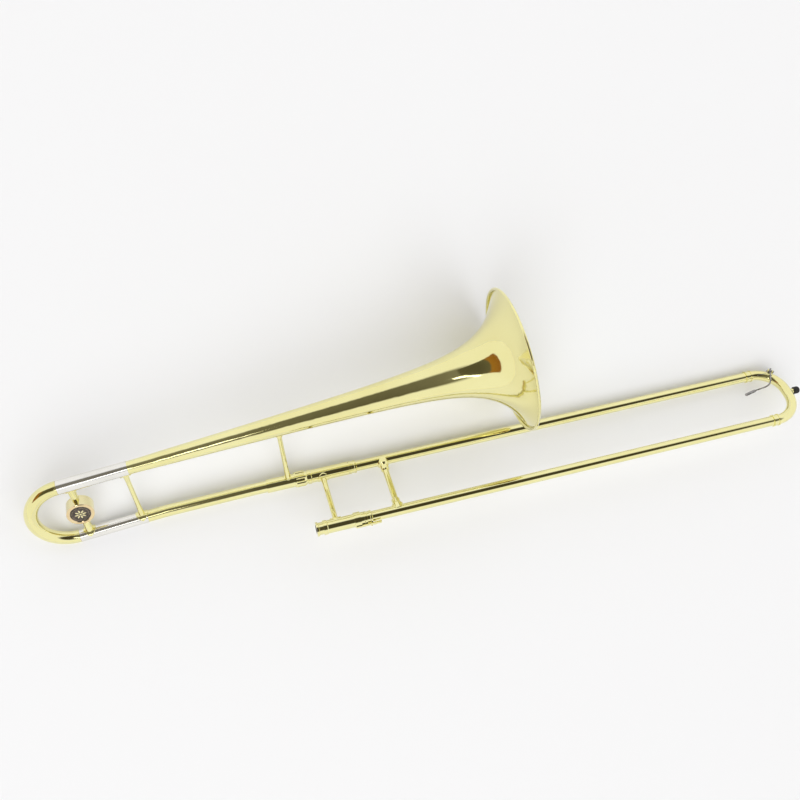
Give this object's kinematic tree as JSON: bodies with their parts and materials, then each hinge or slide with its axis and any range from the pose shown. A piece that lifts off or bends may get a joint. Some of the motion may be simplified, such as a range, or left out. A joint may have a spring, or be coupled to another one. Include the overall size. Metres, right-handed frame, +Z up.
{
  "type": "tenor trombone",
  "caption": "Straight tenor trombone with flared bell, balance weight, tuning slide, hand slide with lock, water key and rubber bumper; takes a small-shank mouthpiece.",
  "frame": {"origin": "middle of the underside of the resting instrument's bounding box", "axes": "+X along the hand slide towards its bow, +Y towards the bell side, +Z up from the surface it lies on"},
  "size_m": [1.1252, 0.2826, 0.2031],
  "materials": {
    "lacquered_brass": "polished yellow brass under clear lacquer",
    "weight_brass": "polished brass, darker lacquer",
    "rose_brass": "polished rose brass",
    "raw_brass": "plain drawn brass, greased",
    "nickel_silver": "polished nickel silver",
    "chromed_tube": "hard chrome plate",
    "medallion": "dark patinated relief",
    "steel": "bright steel",
    "cork": "natural cork",
    "black_rubber": "matt moulded rubber"
  },
  "bodies": {
    "bell_section": {"bell": "lacquered_brass", "rim_wire": "steel", "upper_tuning_sleeve": "nickel_silver", "lower_tuning_sleeve": "nickel_silver", "rear_bell_brace": "lacquered_brass", "rear_brace_flanges": "lacquered_brass", "front_bell_brace": "lacquered_brass", "front_brace_flanges": "lacquered_brass", "neckpipe": "lacquered_brass", "slide_receiver": "lacquered_brass", "counterweight": "weight_brass", "counterweight_bezel": "rose_brass", "counterweight_medallion": "medallion", "counterweight_screw": "steel", "weight_stub_upper": "lacquered_brass", "weight_stub_lower": "lacquered_brass", "weight_stub_flanges": "lacquered_brass"},
    "tuning_slide": {"tuning_bow": "lacquered_brass", "tuning_leg_upper": "raw_brass", "tuning_leg_lower": "raw_brass"},
    "slide_section": {"slide_tenon": "lacquered_brass", "barrel_b": "lacquered_brass", "barrel_a": "lacquered_brass", "mouthpiece_receiver": "lacquered_brass", "leadpipe": "rose_brass", "inner_tube_b": "chromed_tube", "inner_tube_a": "chromed_tube", "left_hand_grip": "lacquered_brass", "grip_flanges": "lacquered_brass", "cork_ring_b": "cork", "cork_ring_a": "cork"},
    "lock_nut": {"slide_lock_nut": "lacquered_brass"},
    "slide_lock": {"slide_lock_ring": "lacquered_brass"},
    "outer_slide": {"outer_tube_b": "lacquered_brass", "top_ferrule_b": "lacquered_brass", "crook_ferrule_b": "lacquered_brass", "outer_tube_a": "lacquered_brass", "top_ferrule_a": "lacquered_brass", "crook_ferrule_a": "lacquered_brass", "lock_stud": "lacquered_brass", "slide_bow": "lacquered_brass", "water_key_nipple": "lacquered_brass", "bumper_holder": "lacquered_brass", "rubber_bumper": "black_rubber", "right_hand_brace": "lacquered_brass", "right_hand_sockets": "lacquered_brass", "water_key_saddle": "lacquered_brass", "water_key_screw": "steel", "water_key_spring": "steel"},
    "water_key": {"water_key_lever": "lacquered_brass", "water_key_cork": "cork"}
  },
  "joints": [
    {"name": "tuning_slide_pull", "type": "slide", "parent": "bell_section", "child": "tuning_slide", "axis": [-0.997, -0.061, -0.0469], "range_m": [0, 0.055]},
    {"name": "slide_swivel", "type": "hinge", "parent": "bell_section", "child": "slide_section", "pos_m": [-0.20451, -0.05994, 0.0145], "axis": [1, 0, -0.0079], "range_deg": [-40, 180]},
    {"name": "lock_nut_turn", "type": "hinge", "parent": "slide_section", "child": "lock_nut", "pos_m": [-0.20601, -0.05994, 0.01451], "axis": [1, 0, -0.0079], "continuous": true},
    {"name": "hand_slide", "type": "slide", "parent": "slide_section", "child": "outer_slide", "axis": [1, 0, -0.0079], "range_m": [0, 0.58]},
    {"name": "slide_lock_turn", "type": "hinge", "parent": "slide_section", "child": "slide_lock", "pos_m": [-0.14211, -0.12855, 0.06586], "axis": [1, 0, -0.0079], "range_deg": [0, 25]},
    {"name": "water_key_press", "type": "hinge", "parent": "outer_slide", "child": "water_key", "pos_m": [0.53019, -0.05859, 0.02276], "axis": [0.7691, -0.5128, 0.3815], "range_deg": [0, 12], "stiffness_Nm_per_rad": 0.03, "springref_deg": -20.05}
  ]
}
